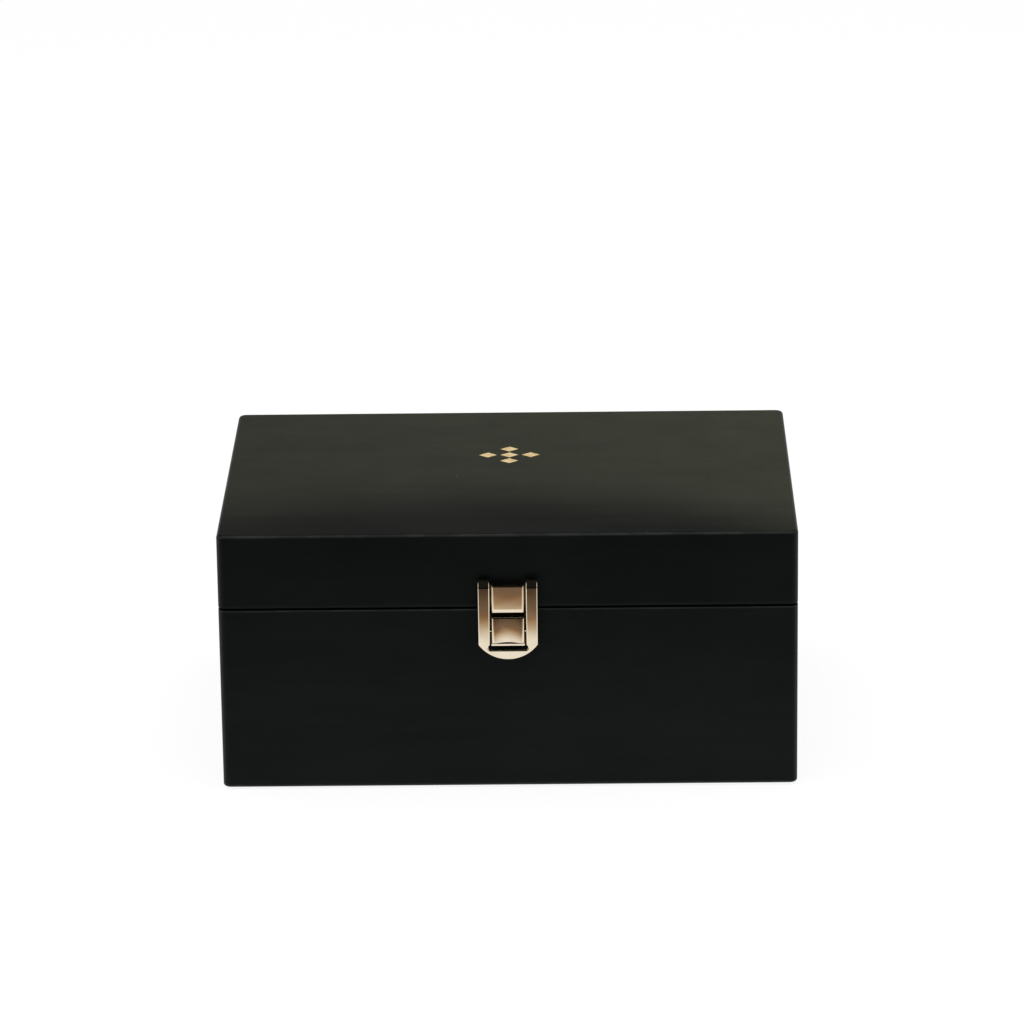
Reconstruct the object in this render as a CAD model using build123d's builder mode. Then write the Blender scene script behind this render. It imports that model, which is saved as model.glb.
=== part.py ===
from build123d import *
import os
from math import cos, radians, sin

# Frame: X runs to the right seen from the front, Y to the back, Z up.
# The origin is on the table, under the middle of the box. All sizes are in millimetres.

# Overall sizes
width = 240.0
depth = 170.0
height = 111.6
rim_height = 79.45  # top of the body's walls, where the lid closes
seam_gap = 0.3  # daylight between the body's rim and the lid's rim

# Boards
wall = 9.0
lid_wall = 8.5
top_board = 7.0
base_board_thickness = 5.0
baize = 0.8
baize_inset = 3.0
corner_radius = 3.3  # upright outer edges
top_edge_radius = 1.5
foot_edge_radius = 1.2
rim_edge_radius = 0.7  # outer arris on both sides of the seam

# Lining: velvet-covered boards that stand proud of the rim and locate the lid
liner = 2.5
liner_edge_radius = 0.8
lip = 5.0
lid_liner = 1.5
lid_liner_edge_radius = 0.5
lining_gap = 0.6
floor_pad_thickness = 5.0
lid_pad_thickness = 4.0
pad_gap = 0.3
pad_corner_radius = 2.5
pad_roll = 2.0  # radius of the pads' drawn-in edges

# Divider between the two compartments
divider = 5.0
divider_drop = 2.0  # from the rim down to the divider's top
divider_edge_radius = 1.5
divider_play = 0.2

# Ornament on the lid: five lozenges of foil, stamped just under the surface
lozenge_width = 8.4
lozenge_depth = 7.4
lozenge_pitch_x = 9.2
lozenge_pitch_y = 8.2
lozenge_centre_y = 22.5
stamp_depth = 0.25
foil = 0.15

# Hinges
hinge_margin = 45.0  # from the side of the box to the middle of each hinge
hinge_length = 32.0
leaf_reach = 7.2  # how far a leaf lies over its wall
leaf = 1.0
knuckle_count = 5
knuckle_gap = 0.2
barrel_radius = 2.0
barrel_gap = 0.2  # between the barrel and the back of the box
hinge_pin_radius = 0.8
pin_play = 0.05
lid_opening = 95.0  # degrees, where the heels of the lid's leaves meet the back wall
stop_play = 0.03

# Hinge screws
screw_spread = 9.0  # from the middle of a leaf
screw_radius = 1.0
screw_head_radius = 2.0
screw_length = 8.0
screw_slot = 0.5
screw_slot_depth = 0.35
screw_play = 0.03
leaf_hole_play = 0.1

# Latch. u is the distance out from the front of the box, v the height over the seam.
latch_width = 24.7
latch_face_u = 4.8  # front of the claw and of the lever
claw_sheet = 0.7
claw_depth = 2.0  # how far the claw's rims reach back from its face
claw_edge_radius = 0.55
arm_width = 4.85
arm_top_v = 13.3
arm_rim_top_v = 8.6
hook_radius = 3.5
hook_tip_u = 0.35
claw_shoulder_v = -14.8  # where the claw's straight sides end
claw_bottom_v = -21.2
pocket_length = 16.3  # cross slot at the foot of the claw's window
pocket_height = 2.1
pocket_v = -16.0
claw_pivot_u = 2.6
claw_pivot_v = -9.1
claw_boss_radius = 1.3

lever_width = 13.7
lever_sheet = 0.7
lever_top_v = -2.8
lever_bottom_v = -15.2
lever_flange_back_u = 1.3
lever_flange_bottom_v = -12.0
lever_edge_radius = 0.6
lever_lip_reach = 0.1
lever_lip_height = 1.3
lever_lip_radius = 0.35
thumb_dent_radius = 33.0
thumb_dent_width = 9.3
thumb_dent_rise = 0.8  # how far the dent rises over the lip
pivot_u = 2.9
pivot_v = -4.1
pivot_boss_radius = 1.3

latch_pin_radius = 0.6
latch_pin_fit = 0.02  # round the pins in the pieces that hold them
latch_pin_play = 0.06  # round the pins in the pieces that turn on them
rivet_head_radius = 0.9
rivet_head = 0.4
rivet_head_gap = 0.05

plate = 0.8  # sheet of the base plate and of the strike
base_plate_width = 22.8
base_plate_top_v = -2.4
base_plate_bottom_v = -16.4
base_plate_corner = 1.5
ear_radius = 1.0
ear_root_drop = 0.3  # the ears' roots stay this far under the pivot, clear of the open lever
ear_gap = 0.1  # between the ears and the lever's flanges

strike_bottom_v = 0.6
hook_play = 0.1  # between the hooks and the catch lips
catch_reach = 1.5
catch_side_gap = 0.3
panel_width = 13.7
panel_u = 3.9
panel_top_v = 10.7
panel_bottom_v = -1.4
panel_sheet = 0.7
panel_side_radius = 0.6
panel_bottom_radius = 0.65
panel_seat_gap = 0.6  # between the panel's skirt and the front of the box below the seam

nail_radius = 0.6
nail_head_radius = 1.2
nail_head = 0.6
nail_dome_radius = 0.5
nail_length = 6.5
nail_play = 0.03
nail_x = 9.9
base_nail_vs = (-6.4, -13.4)
strike_nail_vs = (5.6,)

# Heights and places worked out from the sizes above
floor_top = baize + base_board_thickness
floor_pad_top = floor_top + floor_pad_thickness
lid_bottom = rim_height + seam_gap
lid_board_bottom = height - top_board
lid_pad_bottom = lid_board_bottom - lid_pad_thickness
liner_top = rim_height + lip
front_y = -depth / 2
back_y = depth / 2
seam_z = rim_height + seam_gap / 2
barrel_reach = barrel_gap + barrel_radius
hinge_y = back_y + barrel_reach
hinge_xs = (hinge_margin - width / 2, width / 2 - hinge_margin)
hinge_names = ("left", "right")
screw_y = back_y - leaf_reach / 2
inside_x = width / 2 - wall
inside_y = depth / 2 - wall
sides = ("front", "back", "left", "right")
catch_v = arm_top_v - claw_sheet - hook_play
claw_back_u = latch_face_u - claw_depth
window_width = latch_width - 2 * arm_width
strike_width = latch_width - 2 * catch_side_gap


def finish(part, name):
    """Labels a finished piece and writes it to its own file."""
    part.label = name
    export_step(part, f"parts/{name}.step")


def front_plane(u):
    """A plane parallel to the front of the box, u out from it, with x and v as its axes."""
    return Plane((0, front_y - u, seam_z), x_dir=(1, 0, 0), z_dir=(0, -1, 0))


def side_plane(x):
    """A plane across the latch at x, with u and v as its axes. It faces left."""
    return Plane((x, front_y, seam_z), x_dir=(0, -1, 0), z_dir=(-1, 0, 0))


def cross_rod(u, v, radius, length):
    """A round rod from side to side through the latch: a pin, or a bore for one."""
    with BuildPart() as rod:
        with BuildSketch(side_plane(length / 2)):
            with Locations((u, v)):
                Circle(radius)
        extrude(amount=length)
    return rod.part


def nail_shanks(vs, radius, out_to, into):
    """Round shanks at the latch's nails, from out_to in front of the box to into its wall."""
    with BuildPart() as shanks:
        with BuildSketch(front_plane(-into)):
            with Locations(*[(s * nail_x, v) for v in vs for s in (-1, 1)]):
                Circle(radius)
        extrude(amount=out_to + into)
    return shanks.part


def screw_places(z):
    """The middles of the hinge screws' heads at one height."""
    return [(x + s * screw_spread, screw_y, z) for x in hinge_xs for s in (-1, 1)]


def screw_bores(leaf_side, into):
    """Pilot holes for one side's hinge screws, from the leaf's seat into the wood."""
    with BuildPart() as bores:
        with BuildSketch(Plane.XY.offset(leaf_side)):
            with Locations(*[(x, y) for x, y, _ in screw_places(0)]):
                Circle(screw_radius + screw_play)
        extrude(amount=into)
    return bores.part


def leaf_seats(low):
    """The shallow recesses of one side's hinge leaves."""
    with BuildPart() as seats:
        with BuildSketch(Plane.XY.offset(low)):
            with Locations(*[(x, back_y - leaf_reach / 2) for x in hinge_xs]):
                Rectangle(hinge_length, leaf_reach)
        extrude(amount=leaf)
    return seats.part


os.makedirs("parts", exist_ok=True)


# Walls: each set of four is one rounded frame, cut apart along its mitres.
def frame_of_walls(low, high, thickness):
    """A rounded frame of four walls."""
    with BuildPart() as frame:
        with BuildSketch(Plane.XY.offset(low)):
            RectangleRounded(width, depth, corner_radius)
            Rectangle(width - 2 * thickness, depth - 2 * thickness, mode=Mode.SUBTRACT)
        extrude(amount=high - low)
    return frame.part


def outline_edges(part, z, thickness):
    """The edges of the frame's outline at one height, without those of its hollow."""
    level = part.edges().filter_by_position(Axis.Z, z, z)
    return level.filter_by(
        lambda e: abs(e.center().X) > width / 2 - thickness / 2
        or abs(e.center().Y) > depth / 2 - thickness / 2
    )


def mitred_wall(frame, side, thickness, low, high):
    """The wall of one side, out of its frame."""
    x = width / 2
    y = depth / 2
    corners = {
        "front": [(-x, -y), (x, -y), (x - thickness, -y + thickness), (-x + thickness, -y + thickness)],
        "right": [(x, -y), (x, y), (x - thickness, y - thickness), (x - thickness, -y + thickness)],
    }
    turn = {"front": 0, "right": 0, "back": 180, "left": 180}[side]
    outline = corners["front" if side in ("front", "back") else "right"]
    with BuildPart() as piece:
        add(frame)
        with BuildSketch(Plane.XY.offset(low).rotated((0, 0, turn))):
            with BuildLine():
                Polyline(*outline, close=True)
            make_face()
        extrude(amount=high - low, mode=Mode.INTERSECT)
    return piece.part


with BuildPart() as body_frame:
    add(frame_of_walls(baize, rim_height, wall))
    fillet(outline_edges(body_frame.part, rim_height, wall), rim_edge_radius)
    fillet(outline_edges(body_frame.part, baize, wall), foot_edge_radius)

with BuildPart() as lid_frame:
    add(frame_of_walls(lid_bottom, lid_board_bottom, lid_wall))
    fillet(outline_edges(lid_frame.part, lid_bottom, lid_wall), rim_edge_radius)

for side in sides:
    with BuildPart() as body_wall:
        add(mitred_wall(body_frame.part, side, wall, baize, rim_height))
        if side == "front":
            add(nail_shanks(base_nail_vs, nail_radius + nail_play, 0, nail_length), mode=Mode.SUBTRACT)
        if side == "back":
            add(leaf_seats(rim_height - leaf), mode=Mode.SUBTRACT)
            add(screw_bores(rim_height - leaf, -screw_length), mode=Mode.SUBTRACT)
    finish(body_wall.part, f"body_{side}_wall")

    with BuildPart() as lid_rail:
        add(mitred_wall(lid_frame.part, side, lid_wall, lid_bottom, lid_board_bottom))
        if side == "front":
            add(nail_shanks(strike_nail_vs, nail_radius + nail_play, 0, nail_length), mode=Mode.SUBTRACT)
        if side == "back":
            add(leaf_seats(lid_bottom), mode=Mode.SUBTRACT)
            add(screw_bores(lid_bottom + leaf, screw_length), mode=Mode.SUBTRACT)
    finish(lid_rail.part, f"lid_{side}_rail")

# Base board and the baize under it
with BuildPart() as base_board:
    with BuildSketch(Plane.XY.offset(baize)):
        Rectangle(2 * inside_x, 2 * inside_y)
    extrude(amount=base_board_thickness)
finish(base_board.part, "base_board")

with BuildPart() as base_baize:
    with BuildSketch():
        RectangleRounded(width - 2 * baize_inset, depth - 2 * baize_inset, corner_radius)
    extrude(amount=baize)
finish(base_baize.part, "base_baize")

# Lid board, and the foil lozenges in its stamped pattern
with BuildSketch() as ornament_pattern:
    with Locations(
        (0, lozenge_centre_y),
        (lozenge_pitch_x, lozenge_centre_y),
        (-lozenge_pitch_x, lozenge_centre_y),
        (0, lozenge_centre_y + lozenge_pitch_y),
        (0, lozenge_centre_y - lozenge_pitch_y),
    ):
        Polygon(
            (lozenge_width / 2, 0),
            (0, lozenge_depth / 2),
            (-lozenge_width / 2, 0),
            (0, -lozenge_depth / 2),
        )

with BuildPart() as lid_top_board:
    with BuildSketch(Plane.XY.offset(lid_board_bottom)):
        RectangleRounded(width, depth, corner_radius)
    extrude(amount=top_board)
    fillet(lid_top_board.faces().sort_by(Axis.Z)[-1].edges(), top_edge_radius)
    with BuildSketch(Plane.XY.offset(height - stamp_depth)):
        add(ornament_pattern.sketch)
    extrude(amount=stamp_depth, mode=Mode.SUBTRACT)
finish(lid_top_board.part, "lid_top_board")

with BuildPart() as lid_ornament:
    with BuildSketch(Plane.XY.offset(height - stamp_depth)):
        add(ornament_pattern.sketch)
    extrude(amount=foil)
finish(lid_ornament.part, "lid_ornament")


# Lining boards: front and back run the whole width, the sides fit between them.
def lining_board(side, inner_wall, thickness, low, high, open_end, roll):
    """One velvet-covered board against the inside of a wall, rounded at its open end."""
    reach_x = width / 2 - inner_wall
    reach_y = depth / 2 - inner_wall
    s = -1 if side in ("front", "left") else 1
    lengthwise = side in ("front", "back")
    with BuildPart() as board:
        with BuildSketch(Plane.XY.offset(low)):
            if lengthwise:
                with Locations((0, s * (reach_y - thickness / 2))):
                    Rectangle(2 * reach_x, thickness)
            else:
                with Locations((s * (reach_x - thickness / 2), 0)):
                    Rectangle(thickness, 2 * (reach_y - thickness))
        extrude(amount=high - low)
        end = board.faces().sort_by(Axis.Z)[open_end]
        fillet(end.edges().filter_by(Axis.X if lengthwise else Axis.Y), roll)
    return board.part


for side in sides:
    body_liner = lining_board(side, wall, liner, floor_top, liner_top, -1, liner_edge_radius)
    finish(body_liner, f"body_{side}_liner")
    lid_board = lining_board(
        side, lid_wall, lid_liner, liner_top + lining_gap, lid_board_bottom, 0, lid_liner_edge_radius
    )
    finish(lid_board, f"lid_{side}_liner")

# Divider, standing on the base board between the front and back linings
with BuildPart() as divider_board:
    with BuildSketch(Plane.XY.offset(floor_top)):
        Rectangle(divider, 2 * (inside_y - liner - divider_play))
    extrude(amount=rim_height - divider_drop - floor_top)
    fillet(divider_board.faces().sort_by(Axis.Z)[-1].edges().filter_by(Axis.Y), divider_edge_radius)
finish(divider_board.part, "divider")


# Pads
def pad(centre_x, length, breadth, low, thickness, shown):
    """A thin velvet-covered foam pad with drawn-in edges on the side that shows."""
    with BuildPart() as cushion:
        with BuildSketch(Plane.XY.offset(low)):
            with Locations((centre_x, 0)):
                RectangleRounded(length, breadth, pad_corner_radius)
        extrude(amount=thickness)
        fillet(cushion.faces().sort_by(Axis.Z)[shown].edges(), pad_roll)
    return cushion.part


compartment = inside_x - liner - divider / 2
compartment_x = divider / 2 + compartment / 2
pad_breadth = 2 * (inside_y - liner - pad_gap)
for name, s in (("left", -1), ("right", 1)):
    floor_pad = pad(
        s * compartment_x, compartment - 2 * pad_gap, pad_breadth, floor_top, floor_pad_thickness, -1
    )
    finish(floor_pad, f"floor_pad_{name}")
lid_pad_margin = lid_wall + lid_liner + pad_gap
lid_pad = pad(
    0, width - 2 * lid_pad_margin, depth - 2 * lid_pad_margin, lid_pad_bottom, lid_pad_thickness, 0
)
finish(lid_pad, "lid_pad")

# Hinges. The body's leaf has the outer and middle knuckles, the lid's leaf the two between.
# A heel behind each knuckle of the lid's leaf swings round to the back wall and stops the lid.
knuckle = hinge_length / knuckle_count
heel = (barrel_radius * sin(radians(lid_opening)) - barrel_reach + stop_play) / cos(radians(lid_opening))


def hinge_leaf(x, first_knuckle, leaf_low, head_z, upwards):
    """A countersunk leaf with every second knuckle, from first_knuckle on."""
    with BuildPart() as hinge:
        with BuildSketch(Plane.XY.offset(leaf_low)):
            with Locations((x, back_y - leaf_reach / 2)):
                Rectangle(hinge_length, leaf_reach)
        extrude(amount=leaf)
        for i in range(first_knuckle, knuckle_count, 2):
            start = x - hinge_length / 2 + i * knuckle + knuckle_gap / 2
            with BuildSketch(Plane((start, hinge_y, seam_z), x_dir=(0, 1, 0), z_dir=(1, 0, 0))):
                with Locations((-(barrel_reach + leaf) / 2, leaf_low + leaf / 2 - seam_z)):
                    Rectangle(barrel_reach + leaf, leaf)
                Circle(barrel_radius)
                if not upwards:
                    with Locations((heel / 2, leaf / 2 - barrel_radius)):
                        Rectangle(heel, leaf)
                Circle(hinge_pin_radius + pin_play, mode=Mode.SUBTRACT)
            extrude(amount=knuckle - knuckle_gap)
        for s in (-1, 1):
            head = Plane((x + s * screw_spread, screw_y, head_z)).rotated((0 if upwards else 180, 0, 0))
            with Locations(head):
                CounterSinkHole(
                    screw_radius + leaf_hole_play,
                    screw_head_radius + leaf_hole_play,
                    depth=2 * leaf,
                    counter_sink_angle=90,
                )
    return hinge.part


def hinge_screws(head_z, upwards):
    """The countersunk screws of one side's leaves."""
    with BuildPart() as screws:
        for place in screw_places(head_z):
            seat = Plane(place).rotated((0 if upwards else 180, 0, 0))
            with BuildSketch(seat):
                Circle(screw_head_radius)
            with BuildSketch(seat.offset(-leaf)):
                Circle(screw_radius)
            loft()
            with BuildSketch(seat.offset(-leaf)):
                Circle(screw_radius)
            extrude(amount=leaf - screw_length)
            with BuildSketch(seat):
                Rectangle(2 * screw_head_radius, screw_slot)
            extrude(amount=-screw_slot_depth, mode=Mode.SUBTRACT)
    return screws.part


for name, x in zip(hinge_names, hinge_xs):
    finish(hinge_leaf(x, 0, rim_height - leaf, rim_height, True), f"hinge_body_leaf_{name}")
    finish(hinge_leaf(x, 1, lid_bottom, lid_bottom, False), f"hinge_lid_leaf_{name}")
    with BuildPart() as hinge_pin:
        with BuildSketch(Plane((x - hinge_length / 2, hinge_y, seam_z), z_dir=(1, 0, 0))):
            Circle(hinge_pin_radius)
        extrude(amount=hinge_length)
    finish(hinge_pin.part, f"hinge_pin_{name}")

finish(hinge_screws(rim_height, True), "hinge_body_screws")
finish(hinge_screws(lid_bottom, False), "hinge_lid_screws")

# Latch: a lever on the body draws a forked claw down over two catch lips on the lid.
# Strike on the lid: a plate with the lips, and a hollow panel that fills the fork.
with BuildPart() as latch_strike:
    catch_x = (latch_width - arm_width) / 2
    catch_width = arm_width - 2 * catch_side_gap
    with BuildSketch(front_plane(0)):
        with Locations((0, (strike_bottom_v + panel_top_v) / 2)):
            Rectangle(strike_width, panel_top_v - strike_bottom_v)
        with Locations(*[(s * catch_x, (panel_top_v + catch_v) / 2) for s in (-1, 1)]):
            Rectangle(catch_width, catch_v - panel_top_v)
    extrude(amount=plate)
    with BuildSketch(front_plane(0)):
        with Locations(*[(s * catch_x, catch_v - plate / 2) for s in (-1, 1)]):
            Rectangle(catch_width, plate)
    extrude(amount=catch_reach)
    with BuildSketch(front_plane(0)):
        with Locations((0, (panel_top_v + panel_bottom_v) / 2)):
            Rectangle(panel_width, panel_top_v - panel_bottom_v)
    extrude(amount=panel_u)
    face = latch_strike.faces().sort_by(Axis.Y)[0]
    fillet(face.edges().filter_by(Axis.Z), panel_side_radius)
    face = latch_strike.faces().sort_by(Axis.Y)[0]
    fillet(face.edges().filter_by(Axis.X), panel_bottom_radius)
    # hollow behind the panel, open towards the body
    hollow_top = panel_top_v - panel_sheet
    with BuildSketch(front_plane(plate)):
        with Locations((0, (hollow_top + strike_bottom_v) / 2)):
            Rectangle(panel_width - 2 * panel_sheet, hollow_top - strike_bottom_v)
    extrude(amount=panel_u - panel_sheet - plate, mode=Mode.SUBTRACT)
    with BuildSketch(front_plane(0)):
        with Locations((0, (strike_bottom_v + panel_bottom_v) / 2)):
            Rectangle(panel_width, strike_bottom_v - panel_bottom_v)
    extrude(amount=panel_seat_gap, mode=Mode.SUBTRACT)
    with BuildSketch(front_plane(0)):
        with Locations((0, (strike_bottom_v + panel_bottom_v + panel_sheet) / 2)):
            Rectangle(panel_width - 2 * panel_sheet, strike_bottom_v - panel_bottom_v - panel_sheet)
    extrude(amount=panel_u - panel_sheet, mode=Mode.SUBTRACT)
    add(nail_shanks(strike_nail_vs, nail_radius + nail_play, plate, 0), mode=Mode.SUBTRACT)
finish(latch_strike.part, "latch_strike")

# Base plate on the body, with two ears for the lever's pivot
ear_x = lever_width / 2 - lever_sheet - ear_gap - plate / 2
with BuildPart() as latch_base_plate:
    with BuildSketch(front_plane(0)):
        with Locations((0, (base_plate_top_v + base_plate_bottom_v) / 2)):
            RectangleRounded(
                base_plate_width, base_plate_top_v - base_plate_bottom_v, base_plate_corner
            )
    extrude(amount=plate)
    for s in (-1, 1):
        with BuildSketch(side_plane(s * ear_x + plate / 2)):
            with Locations((pivot_u, pivot_v)):
                Circle(ear_radius)
            with Locations((pivot_u / 2, pivot_v - (ear_radius + ear_root_drop) / 2)):
                Rectangle(pivot_u, ear_radius - ear_root_drop)
        extrude(amount=plate)
    add(cross_rod(pivot_u, pivot_v, latch_pin_radius + latch_pin_fit, lever_width), mode=Mode.SUBTRACT)
    add(nail_shanks(base_nail_vs, nail_radius + nail_play, plate, 0), mode=Mode.SUBTRACT)
finish(latch_base_plate.part, "latch_base_plate")


def latch_nails(vs):
    """Dome-headed nails through a latch plate into the wood."""
    with BuildPart() as nails:
        add(nail_shanks(vs, nail_radius, plate, nail_length - plate))
        with BuildSketch(front_plane(plate)):
            with Locations(*[(s * nail_x, v) for v in vs for s in (-1, 1)]):
                Circle(nail_head_radius)
        extrude(amount=nail_head)
        domes = nails.faces().filter_by(Plane.XZ).group_by(Axis.Y)[0]
        fillet(domes.edges(), nail_dome_radius)
    return nails.part


finish(latch_nails(base_nail_vs), "latch_base_nails")
finish(latch_nails(strike_nail_vs), "latch_strike_nails")

# Lever: a face sheet with a thumb lip, and two flanges that turn on the pivot
with BuildPart() as latch_lever:
    lip_top_v = lever_bottom_v + lever_lip_height
    with BuildSketch(side_plane(lever_width / 2)):
        with Locations((latch_face_u - lever_sheet / 2, (lever_top_v + lever_bottom_v) / 2)):
            Rectangle(lever_sheet, lever_top_v - lever_bottom_v)
    extrude(amount=lever_width)
    face_edges = latch_lever.faces().sort_by(Axis.Y)[0].edges()
    fillet(face_edges.filter_by(Axis.Z) + [face_edges.sort_by(Axis.Z)[-1]], lever_edge_radius)
    # thumb dent: a ball pressed into the sheet, as wide as named where the lip starts
    half_dent = thumb_dent_width / 2
    dent_drop = (half_dent ** 2 - thumb_dent_rise ** 2) / (2 * thumb_dent_rise)
    dent_out = (thumb_dent_radius ** 2 - (dent_drop + thumb_dent_rise) ** 2) ** 0.5
    with Locations((0, front_y - latch_face_u - dent_out, seam_z + lip_top_v - dent_drop)):
        Sphere(thumb_dent_radius, mode=Mode.SUBTRACT)
    with BuildSketch(side_plane(lever_width / 2)):
        lip_u = latch_face_u + (lever_lip_reach - lever_sheet) / 2
        with Locations((lip_u, lever_bottom_v + lever_lip_height / 2)):
            RectangleRounded(lever_sheet + lever_lip_reach, lever_lip_height, lever_lip_radius)
    extrude(amount=lever_width)
    for s in (-1, 1):
        with BuildSketch(side_plane(s * (lever_width - lever_sheet) / 2 + lever_sheet / 2)):
            with Locations((pivot_u, pivot_v)):
                Circle(pivot_boss_radius)
            with BuildLine():
                Polyline(
                    (latch_face_u - lever_sheet, lever_top_v),
                    (pivot_u, pivot_v + pivot_boss_radius),
                    (pivot_u - pivot_boss_radius, pivot_v),
                    (lever_flange_back_u, claw_pivot_v),
                    (lever_flange_back_u, lever_flange_bottom_v),
                    (latch_face_u - lever_sheet, lip_top_v),
                    close=True,
                )
            make_face()
        extrude(amount=lever_sheet)
    add(cross_rod(pivot_u, pivot_v, latch_pin_radius + latch_pin_play, latch_width), mode=Mode.SUBTRACT)
    add(
        cross_rod(claw_pivot_u, claw_pivot_v, latch_pin_radius + latch_pin_fit, latch_width),
        mode=Mode.SUBTRACT,
    )
finish(latch_lever.part, "latch_lever")
finish(cross_rod(pivot_u, pivot_v, latch_pin_radius, lever_width), "latch_lever_pin")

# Claw: a forked plate with rims turned back, hooks at the top and lugs for its rivet
bend_u = latch_face_u - hook_radius
bend_v = arm_top_v - hook_radius
with BuildSketch() as claw_outline:
    with BuildLine():
        Polyline(
            (-latch_width / 2, claw_shoulder_v),
            (-latch_width / 2, bend_v),
            (latch_width / 2, bend_v),
            (latch_width / 2, claw_shoulder_v),
        )
        ThreePointArc(
            (latch_width / 2, claw_shoulder_v), (0, claw_bottom_v), (-latch_width / 2, claw_shoulder_v)
        )
    make_face()

with BuildPart() as latch_claw:
    # rims round the outside, cut off below the bend of the arms
    with BuildSketch(front_plane(claw_back_u)):
        add(claw_outline.sketch)
        offset(claw_outline.sketch, amount=-claw_sheet, mode=Mode.SUBTRACT)
        with Locations((0, arm_rim_top_v + hook_radius)):
            Rectangle(latch_width, 2 * hook_radius, mode=Mode.SUBTRACT)
    extrude(amount=claw_depth)
    with BuildSketch(front_plane(latch_face_u - claw_sheet)):
        add(claw_outline.sketch)
    extrude(amount=claw_sheet)
    # hooks, bent back over the catch lips
    inner_radius = hook_radius - claw_sheet
    with BuildSketch(side_plane(latch_width / 2)):
        with BuildLine():
            Line((latch_face_u - claw_sheet, bend_v), (latch_face_u, bend_v))
            CenterArc((bend_u, bend_v), hook_radius, 0, 90)
            Polyline(
                (bend_u, arm_top_v),
                (hook_tip_u, arm_top_v),
                (hook_tip_u, arm_top_v - claw_sheet),
                (bend_u, arm_top_v - claw_sheet),
            )
            CenterArc((bend_u, bend_v), inner_radius, 0, 90)
        make_face()
    extrude(amount=latch_width)
    # window between the arms, and the pocket at its foot
    with BuildSketch(front_plane(0)):
        with Locations((0, (pocket_v + arm_top_v) / 2)):
            Rectangle(window_width, arm_top_v - pocket_v)
        with Locations((0, pocket_v)):
            SlotOverall(pocket_length, pocket_height)
    extrude(amount=latch_face_u, mode=Mode.SUBTRACT)
    bend_z = seam_z + bend_v
    face_edges = latch_claw.faces().sort_by(Axis.Y)[0].edges()
    face_edges = face_edges.filter_by(lambda e: e.center().Z < bend_z - claw_sheet)
    arcs = latch_claw.edges().filter_by(GeomType.CIRCLE)
    outer_radius = inner_radius + claw_sheet / 2
    hook_edges = arcs.filter_by(lambda e: e.center().Z > bend_z and e.radius > outer_radius)
    fillet(face_edges + hook_edges, claw_edge_radius)
    # inner rims and the lugs for the rivet
    inner_rim_foot_v = pocket_v + pocket_height / 2
    for s in (-1, 1):
        with BuildSketch(side_plane(s * (window_width + claw_sheet) / 2 + claw_sheet / 2)):
            with Locations((latch_face_u - claw_depth / 2 - claw_sheet / 4,
                            (arm_rim_top_v + inner_rim_foot_v) / 2)):
                Rectangle(claw_depth - 3 * claw_sheet / 2, arm_rim_top_v - inner_rim_foot_v)
            with Locations((claw_pivot_u, claw_pivot_v)):
                Circle(claw_boss_radius)
            with Locations(((claw_pivot_u + latch_face_u - claw_sheet) / 2, claw_pivot_v)):
                Rectangle(latch_face_u - claw_sheet - claw_pivot_u, 2 * claw_boss_radius)
        extrude(amount=claw_sheet)
    add(
        cross_rod(claw_pivot_u, claw_pivot_v, latch_pin_radius + latch_pin_play, latch_width),
        mode=Mode.SUBTRACT,
    )
finish(latch_claw.part, "latch_claw")

# Rivet that joins the claw to the lever
rivet_reach = window_width + 2 * (claw_sheet + rivet_head_gap)
with BuildPart() as latch_rivet:
    add(cross_rod(claw_pivot_u, claw_pivot_v, latch_pin_radius, rivet_reach))
    for s in (-1, 1):
        with BuildSketch(side_plane(s * (rivet_reach + rivet_head) / 2 + rivet_head / 2)):
            with Locations((claw_pivot_u, claw_pivot_v)):
                Circle(rivet_head_radius)
        extrude(amount=rivet_head)
finish(latch_rivet.part, "latch_rivet")
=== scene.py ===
"""Dresses the chess piece box: black grained wood, pale gold latch, velvet inside, and its studio."""
import math

import bmesh
import bpy
from mathutils import Matrix, Vector, noise


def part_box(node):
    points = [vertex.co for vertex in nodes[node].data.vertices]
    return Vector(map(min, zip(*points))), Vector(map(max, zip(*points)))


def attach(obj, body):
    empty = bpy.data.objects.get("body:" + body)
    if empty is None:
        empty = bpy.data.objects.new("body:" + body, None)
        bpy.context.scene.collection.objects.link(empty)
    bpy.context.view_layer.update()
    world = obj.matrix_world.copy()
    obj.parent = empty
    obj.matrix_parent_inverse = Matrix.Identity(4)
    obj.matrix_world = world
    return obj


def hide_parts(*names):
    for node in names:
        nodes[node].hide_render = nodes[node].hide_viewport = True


MM = 0.001
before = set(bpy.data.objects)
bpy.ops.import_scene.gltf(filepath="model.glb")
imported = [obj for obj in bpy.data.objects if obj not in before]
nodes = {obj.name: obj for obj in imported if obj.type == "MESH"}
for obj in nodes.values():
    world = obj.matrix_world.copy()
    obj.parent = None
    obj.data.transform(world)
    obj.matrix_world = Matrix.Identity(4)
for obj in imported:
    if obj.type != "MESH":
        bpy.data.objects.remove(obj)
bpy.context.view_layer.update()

# Places of the box, in metres, from the frame
body_low, body_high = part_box("body_front_wall")
_, top_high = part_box("lid_top_board")
rail_low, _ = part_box("lid_front_rail")
lever_low, lever_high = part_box("latch_lever")
strike_low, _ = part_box("latch_strike")
HALF_WIDTH = top_high.x
HALF_DEPTH = top_high.y
TOP = top_high.z
SEAM = (body_high.z + rail_low.z) / 2
FOOT = body_low.z
GAP_X = lever_high.x + 0.32 * MM  # middle of the gaps between the claw's arms and the lever

# Camera, as the photograph was taken
CAMERA_PLACE = Vector((29.8, -2171.0, 811.6)) * MM
CAMERA_YAW = math.radians(0.757)
CAMERA_PITCH = math.radians(18.313)
CAMERA_ROLL = math.radians(-0.754)
CAMERA_LENS = 188.02
SENSOR = 36.0


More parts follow.
